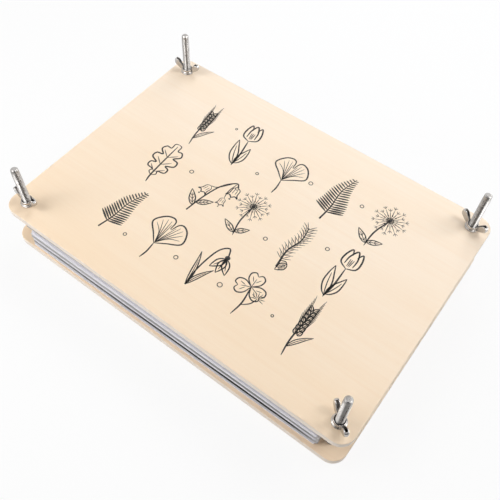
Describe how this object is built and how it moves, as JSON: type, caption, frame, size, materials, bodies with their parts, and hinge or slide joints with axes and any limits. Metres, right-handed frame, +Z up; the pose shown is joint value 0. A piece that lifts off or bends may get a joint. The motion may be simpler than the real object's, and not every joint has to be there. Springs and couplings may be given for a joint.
{
  "type": "flower press",
  "caption": "Rectangular flower press: two pale plywood boards on corner bolts with wing nuts, squeezing a pile of cards and blotting paper.",
  "frame": {"origin": "centre of the press on the surface it stands on, the plane of the four bolt-head crowns", "axes": "+X to the right along the boards' long side, +Y to the back, +Z up along the bolts"},
  "size_m": [0.3, 0.21, 0.0836],
  "materials": {
    "top_board": "pale fine-grained plywood, sanded and left bare, with rows of small plants printed in black line",
    "bottom_board": "pale fine-grained plywood, sanded and left bare",
    "bolts": "bright zinc-plated steel with a rolled thread",
    "washers": "bright zinc-plated steel, punched",
    "wing_nuts": "bright zinc-plated sheet, folded into two rounded wings",
    "cards": "white-lined fluted card, its flutes open along the long edges",
    "blotting_paper": "soft matt blotting paper, faintly grey, with a fibrous cut edge"
  },
  "bodies": {
    "bottom_board": {"bottom_board": "bottom_board", "bolt_front_left": "bolts", "bolt_front_right": "bolts", "bolt_back_left": "bolts", "bolt_back_right": "bolts"},
    "top_board": {"top_board": "top_board", "washer_front_left": "washers", "washer_front_right": "washers", "washer_back_left": "washers", "washer_back_right": "washers"},
    "wing_nut_front_left": {"wing_nut_front_left": "wing_nuts"},
    "wing_nut_front_right": {"wing_nut_front_right": "wing_nuts"},
    "wing_nut_back_left": {"wing_nut_back_left": "wing_nuts"},
    "wing_nut_back_right": {"wing_nut_back_right": "wing_nuts"},
    "blotting_paper_1": {"blotting_paper_1": "blotting_paper"},
    "card_1": {"card_1": "cards"},
    "blotting_paper_2": {"blotting_paper_2": "blotting_paper"},
    "blotting_paper_3": {"blotting_paper_3": "blotting_paper"},
    "card_2": {"card_2": "cards"},
    "blotting_paper_4": {"blotting_paper_4": "blotting_paper"},
    "blotting_paper_5": {"blotting_paper_5": "blotting_paper"},
    "card_3": {"card_3": "cards"},
    "blotting_paper_6": {"blotting_paper_6": "blotting_paper"},
    "blotting_paper_7": {"blotting_paper_7": "blotting_paper"},
    "card_4": {"card_4": "cards"},
    "blotting_paper_8": {"blotting_paper_8": "blotting_paper"},
    "card_5": {"card_5": "cards"}
  },
  "joints": [
    {"name": "top_board_lift", "type": "slide", "parent": "bottom_board", "child": "top_board", "axis": [0, 0, 1], "range_m": [0, 0.029]},
    {"name": "wing_nut_front_left_turn", "type": "hinge", "parent": "top_board", "child": "wing_nut_front_left", "pos_m": [-0.1365, -0.092, 0.047], "axis": [0, 0, 1], "range_deg": [0, 10440]},
    {"name": "wing_nut_front_right_turn", "type": "hinge", "parent": "top_board", "child": "wing_nut_front_right", "pos_m": [0.1365, -0.092, 0.047], "axis": [0, 0, 1], "range_deg": [0, 10440]},
    {"name": "wing_nut_back_left_turn", "type": "hinge", "parent": "top_board", "child": "wing_nut_back_left", "pos_m": [-0.1365, 0.092, 0.047], "axis": [0, 0, 1], "range_deg": [0, 10440]},
    {"name": "wing_nut_back_right_turn", "type": "hinge", "parent": "top_board", "child": "wing_nut_back_right", "pos_m": [0.1365, 0.092, 0.047], "axis": [0, 0, 1], "range_deg": [0, 10440]},
    {"name": "blotting_paper_1_lift", "type": "slide", "parent": "bottom_board", "child": "blotting_paper_1", "axis": [0, 0, 1], "range_m": [0, 0.00207]},
    {"name": "card_1_lift", "type": "slide", "parent": "bottom_board", "child": "card_1", "axis": [0, 0, 1], "range_m": [0, 0.00414]},
    {"name": "blotting_paper_2_lift", "type": "slide", "parent": "bottom_board", "child": "blotting_paper_2", "axis": [0, 0, 1], "range_m": [0, 0.00622]},
    {"name": "blotting_paper_3_lift", "type": "slide", "parent": "bottom_board", "child": "blotting_paper_3", "axis": [0, 0, 1], "range_m": [0, 0.00829]},
    {"name": "card_2_lift", "type": "slide", "parent": "bottom_board", "child": "card_2", "axis": [0, 0, 1], "range_m": [0, 0.01036]},
    {"name": "blotting_paper_4_lift", "type": "slide", "parent": "bottom_board", "child": "blotting_paper_4", "axis": [0, 0, 1], "range_m": [0, 0.01243]},
    {"name": "blotting_paper_5_lift", "type": "slide", "parent": "bottom_board", "child": "blotting_paper_5", "axis": [0, 0, 1], "range_m": [0, 0.0145]},
    {"name": "card_3_lift", "type": "slide", "parent": "bottom_board", "child": "card_3", "axis": [0, 0, 1], "range_m": [0, 0.01657]},
    {"name": "blotting_paper_6_lift", "type": "slide", "parent": "bottom_board", "child": "blotting_paper_6", "axis": [0, 0, 1], "range_m": [0, 0.01864]},
    {"name": "blotting_paper_7_lift", "type": "slide", "parent": "bottom_board", "child": "blotting_paper_7", "axis": [0, 0, 1], "range_m": [0, 0.02072]},
    {"name": "card_4_lift", "type": "slide", "parent": "bottom_board", "child": "card_4", "axis": [0, 0, 1], "range_m": [0, 0.02279]},
    {"name": "blotting_paper_8_lift", "type": "slide", "parent": "bottom_board", "child": "blotting_paper_8", "axis": [0, 0, 1], "range_m": [0, 0.02486]},
    {"name": "card_5_lift", "type": "slide", "parent": "bottom_board", "child": "card_5", "axis": [0, 0, 1], "range_m": [0, 0.02693]}
  ],
  "couplings": [
    {"joint": "wing_nut_front_left_turn", "follows": "top_board_lift", "rad_per_m": 6283.2},
    {"joint": "wing_nut_front_right_turn", "follows": "top_board_lift", "rad_per_m": 6283.2},
    {"joint": "wing_nut_back_left_turn", "follows": "top_board_lift", "rad_per_m": 6283.2},
    {"joint": "wing_nut_back_right_turn", "follows": "top_board_lift", "rad_per_m": 6283.2},
    {"joint": "blotting_paper_1_lift", "follows": "top_board_lift", "ratio": 0.071429},
    {"joint": "card_1_lift", "follows": "top_board_lift", "ratio": 0.14286},
    {"joint": "blotting_paper_2_lift", "follows": "top_board_lift", "ratio": 0.21429},
    {"joint": "blotting_paper_3_lift", "follows": "top_board_lift", "ratio": 0.28571},
    {"joint": "card_2_lift", "follows": "top_board_lift", "ratio": 0.35714},
    {"joint": "blotting_paper_4_lift", "follows": "top_board_lift", "ratio": 0.42857},
    {"joint": "blotting_paper_5_lift", "follows": "top_board_lift", "ratio": 0.5},
    {"joint": "card_3_lift", "follows": "top_board_lift", "ratio": 0.57143},
    {"joint": "blotting_paper_6_lift", "follows": "top_board_lift", "ratio": 0.64286},
    {"joint": "blotting_paper_7_lift", "follows": "top_board_lift", "ratio": 0.71429},
    {"joint": "card_4_lift", "follows": "top_board_lift", "ratio": 0.78571},
    {"joint": "blotting_paper_8_lift", "follows": "top_board_lift", "ratio": 0.85714},
    {"joint": "card_5_lift", "follows": "top_board_lift", "ratio": 0.92857}
  ]
}
